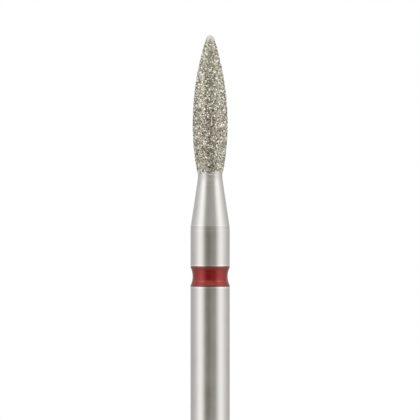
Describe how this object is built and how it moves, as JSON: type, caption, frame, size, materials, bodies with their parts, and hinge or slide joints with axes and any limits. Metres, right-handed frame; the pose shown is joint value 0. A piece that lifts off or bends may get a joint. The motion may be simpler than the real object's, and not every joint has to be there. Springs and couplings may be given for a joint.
{
  "type": "diamond bur",
  "caption": "Flame-shaped diamond bur for a straight dental handpiece: grit-coated head on a tapered neck, with a red lacquer band in a groove round the steel shank.",
  "frame": {"origin": "centre of the shank's flat end face, at the end that goes into the chuck", "axes": "+Z along the bur's axis, from the shank's end towards the tip of the flame; X and Y across it, in no special direction"},
  "size_m": [0.0024, 0.0024, 0.0445],
  "materials": {
    "steel": "fine circumferential grinding, satin",
    "lacquer": "glossy baked colour lacquer",
    "grit": "rough diamond crystals bonded in nickel plating"
  },
  "bodies": {
    "root": {"steel_blank": "steel", "colour_band": "lacquer", "diamond_coat": "grit"}
  },
  "joints": []
}
